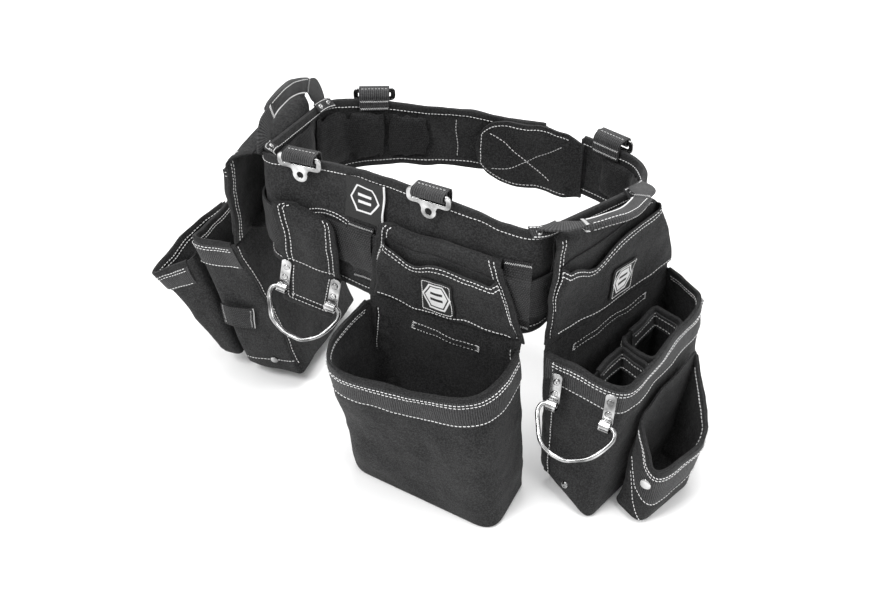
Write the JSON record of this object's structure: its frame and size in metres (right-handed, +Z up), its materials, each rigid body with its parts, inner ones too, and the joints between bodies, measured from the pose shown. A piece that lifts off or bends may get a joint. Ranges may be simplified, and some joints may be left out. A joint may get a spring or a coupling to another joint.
{
  "type": "tool belt",
  "caption": "Padded waist belt for tools with hanging open pouches, hammer loops, carry handles, suspender rings and a buckled strap.",
  "frame": {"origin": "middle of the waist opening at the height of the main strap's centre line", "axes": "+Z up; +Y to the wearer's front, where the buckle is; +X to the side with the side pocket"},
  "size_m": [0.671, 0.3837, 0.3692],
  "materials": {
    "canvas": "plain woven nylon canvas, faint sheen, contrast stitching",
    "foam_lining": "brushed mesh over foam lobes",
    "edge_binding": "folded grosgrain tape, one row of contrast stitching",
    "ribbed_webbing": "ribbed nylon webbing",
    "strap_webbing": "heavy flat nylon webbing",
    "emblem_patch": null,
    "steel_hardware": "satin nickel-plated steel",
    "buckle_plastic": "moulded acetal"
  },
  "bodies": {
    "belt": {"band_shell": "canvas", "band_top_binding": "edge_binding", "band_bottom_binding": "edge_binding", "pad_front_left": "foam_lining", "pad_left": "foam_lining", "pad_back": "foam_lining", "pad_right": "foam_lining", "main_strap": "strap_webbing", "buckle_socket": "buckle_plastic", "keeper_back_left": "ribbed_webbing", "keeper_back_right": "ribbed_webbing", "keeper_front": "ribbed_webbing", "suspender_loop_back_left": "ribbed_webbing", "suspender_loop_back_right": "ribbed_webbing", "suspender_loop_front_left": "ribbed_webbing", "suspender_loop_front_right": "ribbed_webbing", "label_tab": "ribbed_webbing", "hammer_sleeve": "canvas", "left_tunnel": "canvas", "left_flat_pocket": "canvas", "centre_tunnel": "canvas", "centre_flat_pocket": "canvas", "centre_patch": "emblem_patch", "right_tunnel": "canvas", "right_flat_pocket": "canvas", "right_patch": "emblem_patch"},
    "left_pouch": {"left_pocket_shell": "canvas", "left_pocket_rim": "edge_binding", "left_pocket_band": "ribbed_webbing", "left_outer_pocket": "canvas", "tool_tab": "ribbed_webbing"},
    "centre_pouch": {"centre_pocket_shell": "canvas", "centre_pocket_rim": "edge_binding", "centre_pocket_band": "ribbed_webbing"},
    "right_pouch": {"right_pocket_shell": "canvas", "right_pocket_rim": "edge_binding", "right_pocket_band": "ribbed_webbing", "divider_pocket_near": "canvas", "divider_pocket_far": "canvas", "side_pocket_shell": "canvas", "side_pocket_band": "ribbed_webbing", "pouch_hammer_plate_left": "steel_hardware", "pouch_hammer_plate_right": "steel_hardware", "pen_loops": "ribbed_webbing"},
    "pouch_bow": {"pouch_hammer_bow": "steel_hardware"},
    "hammer_flap": {"hammer_flap": "canvas", "hammer_holder_plate_left": "steel_hardware", "hammer_holder_plate_right": "steel_hardware"},
    "holder_bow": {"hammer_holder_bow": "steel_hardware"},
    "left_handle": {"handle_left": "ribbed_webbing", "handle_grip_left": "canvas"},
    "right_handle": {"handle_right": "ribbed_webbing", "handle_grip_right": "canvas"},
    "tongue": {"closure_tongue": "canvas"},
    "buckle": {"buckle_prongs": "buckle_plastic", "adjuster_tail": "strap_webbing"},
    "ring_back_left": {"suspender_ring_back_left": "steel_hardware"},
    "ring_back_right": {"suspender_ring_back_right": "steel_hardware"},
    "ring_front_left": {"suspender_ring_front_left": "steel_hardware"},
    "ring_front_right": {"suspender_ring_front_right": "steel_hardware"}
  },
  "joints": [
    {"name": "left_pouch_swing", "type": "hinge", "parent": "belt", "child": "left_pouch", "pos_m": [-0.23312, -0.01212, -0.0374], "axis": [0.0058, 1, 0], "range_deg": [0, 35]},
    {"name": "centre_pouch_swing", "type": "hinge", "parent": "belt", "child": "centre_pouch", "pos_m": [0.02903, -0.13461, -0.0496], "axis": [-0.9902, 0.1399, 0], "range_deg": [0, 35]},
    {"name": "right_pouch_swing", "type": "hinge", "parent": "belt", "child": "right_pouch", "pos_m": [0.18615, -0.04802, -0.0496], "axis": [-0.4281, -0.9037, 0], "range_deg": [0, 35]},
    {"name": "hammer_flap_swing", "type": "hinge", "parent": "belt", "child": "hammer_flap", "pos_m": [-0.134, -0.11032, -0.04012], "axis": [-0.9815, 0.0177, 0.1908], "range_deg": [0, 35]},
    {"name": "holder_bow_lift", "type": "hinge", "parent": "hammer_flap", "child": "holder_bow", "pos_m": [-0.14042, -0.11654, -0.07779], "axis": [-0.9815, 0.0177, 0.1908], "range_deg": [0, 75]},
    {"name": "pouch_bow_lift", "type": "hinge", "parent": "right_pouch", "child": "pouch_bow", "pos_m": [0.18971, -0.17376, -0.10185], "axis": [-0.9805, 0.1967, 0], "range_deg": [0, 75]},
    {"name": "ring_back_left_swing", "type": "hinge", "parent": "belt", "child": "ring_back_left", "pos_m": [-0.14133, -0.10466, 0.09536], "axis": [-0.9999, 0.0143, 0], "range_deg": [0, 140]},
    {"name": "ring_back_right_swing", "type": "hinge", "parent": "belt", "child": "ring_back_right", "pos_m": [0.01001, -0.12627, 0.09723], "axis": [-0.9902, 0.1399, 0], "range_deg": [0, 140]},
    {"name": "ring_front_left_swing", "type": "hinge", "parent": "belt", "child": "ring_front_left", "pos_m": [-0.14868, 0.11506, 0.06364], "axis": [0.9317, 0.3631, 0], "range_deg": [0, 140]},
    {"name": "ring_front_right_swing", "type": "hinge", "parent": "belt", "child": "ring_front_right", "pos_m": [0.14542, 0.11644, 0.057], "axis": [0.9207, -0.3903, 0], "range_deg": [0, 140]},
    {"name": "left_handle_fold", "type": "hinge", "parent": "belt", "child": "left_handle", "pos_m": [-0.19599, -0.00925, 0.07809], "axis": [0.0017, -0.9926, 0.1218], "range_deg": [-60, 40]},
    {"name": "right_handle_fold", "type": "hinge", "parent": "belt", "child": "right_handle", "pos_m": [0.15947, -0.05306, 0.07321], "axis": [-0.4288, -0.8954, 0.1196], "range_deg": [0, 100]},
    {"name": "tongue_fold", "type": "hinge", "parent": "belt", "child": "tongue", "pos_m": [0.10658, 0.11269, 0.007], "axis": [0, 0, 1], "range_deg": [0, 35]},
    {"name": "buckle_release", "type": "slide", "parent": "belt", "child": "buckle", "axis": [0.9997, -0.0234, 0], "range_m": [0, 0.022]}
  ]
}
